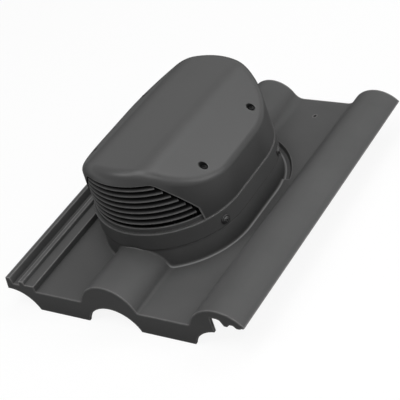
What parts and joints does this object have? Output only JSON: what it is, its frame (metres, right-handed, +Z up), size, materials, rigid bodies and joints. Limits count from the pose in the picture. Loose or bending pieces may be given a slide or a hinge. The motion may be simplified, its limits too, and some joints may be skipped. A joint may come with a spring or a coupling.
{
  "type": "roof tile vent",
  "caption": "Interlocking roof tile with two rolls, moulded with an oval collar that carries a ring, a curved louvre grille and a sloping rain hood over a duct spigot.",
  "frame": {"origin": "middle of the tile's outline seen from above, on the plane that the nose skirt and the nibs rest on", "axes": "+Z up away from the roof, +Y up the roof slope from nose to head, +X across to the covering roll"},
  "size_m": [0.34, 0.42, 0.1662],
  "materials": {
    "body_plastic": "matt, finely grained, anthracite",
    "seal_rubber": "matt",
    "screw_metal": "satin dark coating"
  },
  "bodies": {
    "root": {"tile_base": "body_plastic", "collar_ring": "body_plastic", "louvre_grille": "body_plastic", "hood": "body_plastic", "duct_spigot": "body_plastic", "duct_seal": "seal_rubber", "ring_screw_front_right": "screw_metal", "ring_screw_front_left": "screw_metal", "ring_screw_back_right": "screw_metal", "ring_screw_back_left": "screw_metal", "hood_screw_front_right": "screw_metal", "hood_screw_front_left": "screw_metal", "hood_screw_back_right": "screw_metal", "hood_screw_back_left": "screw_metal"}
  },
  "joints": []
}
